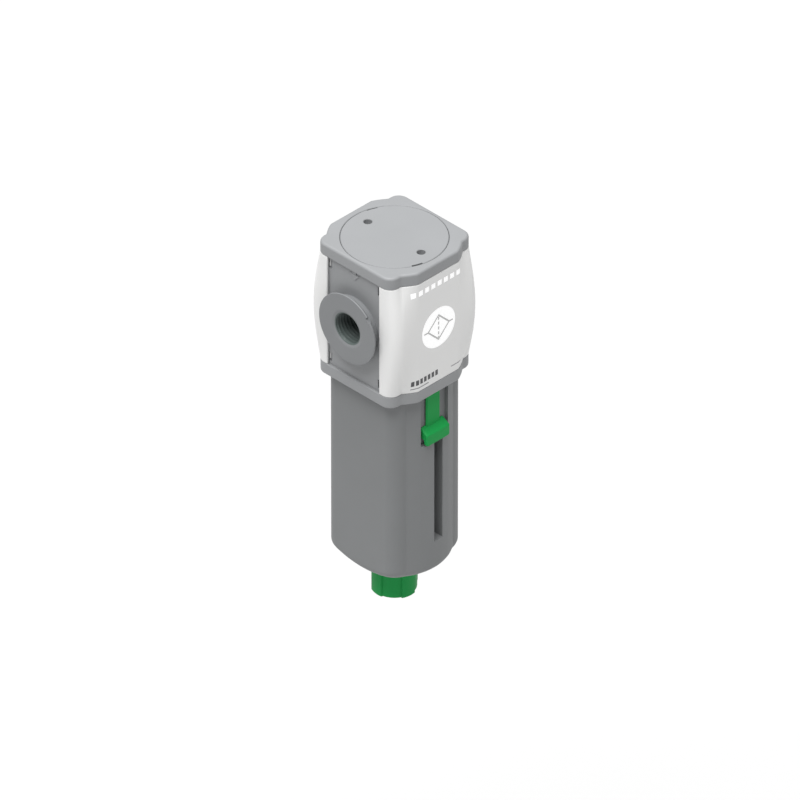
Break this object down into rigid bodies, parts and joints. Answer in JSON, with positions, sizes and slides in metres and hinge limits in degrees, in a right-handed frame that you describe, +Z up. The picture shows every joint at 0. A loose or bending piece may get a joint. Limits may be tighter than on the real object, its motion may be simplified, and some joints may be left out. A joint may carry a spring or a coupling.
{
  "type": "compressed air filter",
  "caption": "Modular compressed air filter: threaded head with clip-on covers and coupling flanges, guarded bowl with sliding latch, and a turn-knob drain.",
  "frame": {"origin": "centre of the inlet coupling flange's outer face, on the port axis", "axes": "+X is the flow direction from inlet to outlet along the port axis, -Y is the front with the latch, +Z is up"},
  "size_m": [0.046, 0.0424, 0.1458],
  "materials": {
    "body_grey": "fine-grained moulded polymer, satin",
    "insert_grey": "fine-grained moulded polymer, satin",
    "guard_grey": "fine-grained moulded polymer, satin",
    "cover_white": "smooth satin moulding",
    "signal_green": "satin moulding",
    "natural_plastic": "natural acetal, semi-matt",
    "sintered_element": "porous sintered polyethylene",
    "clear_bowl": "clear polycarbonate",
    "seal_rubber": "nitrile rubber, matt",
    "spring_steel": "drawn stainless wire",
    "brass_nut": "turned brass"
  },
  "bodies": {
    "head": {"head_body": "body_grey", "front_cover": "cover_white", "rear_cover": "cover_white", "top_plug": "body_grey", "top_plug_oring": "seal_rubber", "inlet_insert": "insert_grey", "outlet_insert": "insert_grey", "inlet_insert_oring": "seal_rubber", "outlet_insert_oring": "seal_rubber", "deflector": "natural_plastic", "element_post": "natural_plastic", "element_top_seal": "seal_rubber", "filter_element": "sintered_element", "element_bottom_seal": "seal_rubber", "baffle": "natural_plastic", "element_nut": "brass_nut"},
    "bowl_unit": {"bowl": "clear_bowl", "bowl_oring": "seal_rubber", "bowl_guard": "guard_grey", "latch_spring": "spring_steel", "drain_body": "natural_plastic", "drain_oring": "seal_rubber", "drain_nut": "brass_nut", "drain_clip": "spring_steel", "drain_spring": "spring_steel"},
    "latch": {"latch": "signal_green"},
    "drain_knob": {"drain_knob": "signal_green"},
    "drain_valve": {"drain_stem": "natural_plastic", "drain_seal": "seal_rubber", "drain_cross_pin": "spring_steel"}
  },
  "joints": [
    {"name": "bowl_turn", "type": "hinge", "parent": "head", "child": "bowl_unit", "pos_m": [0.023, 0, -0.06], "axis": [0, 0, 1], "range_deg": [0, 30]},
    {"name": "latch_slide", "type": "slide", "parent": "bowl_unit", "child": "latch", "axis": [0, 0, -1], "range_m": [0, 0.0025], "stiffness_N_per_m": 300, "springref_m": -0.001, "deforming": ["latch_spring"]},
    {"name": "drain_turn", "type": "hinge", "parent": "bowl_unit", "child": "drain_knob", "pos_m": [0.023, 0, -0.11], "axis": [0, 0, 1], "range_deg": [0, 90]},
    {"name": "drain_lift", "type": "slide", "parent": "bowl_unit", "child": "drain_valve", "axis": [0, 0, 1], "range_m": [0, 0.0015], "deforming": ["drain_spring"]}
  ],
  "couplings": [
    {"joint": "drain_lift", "follows": "drain_turn", "m_per_rad": 0.000954}
  ]
}
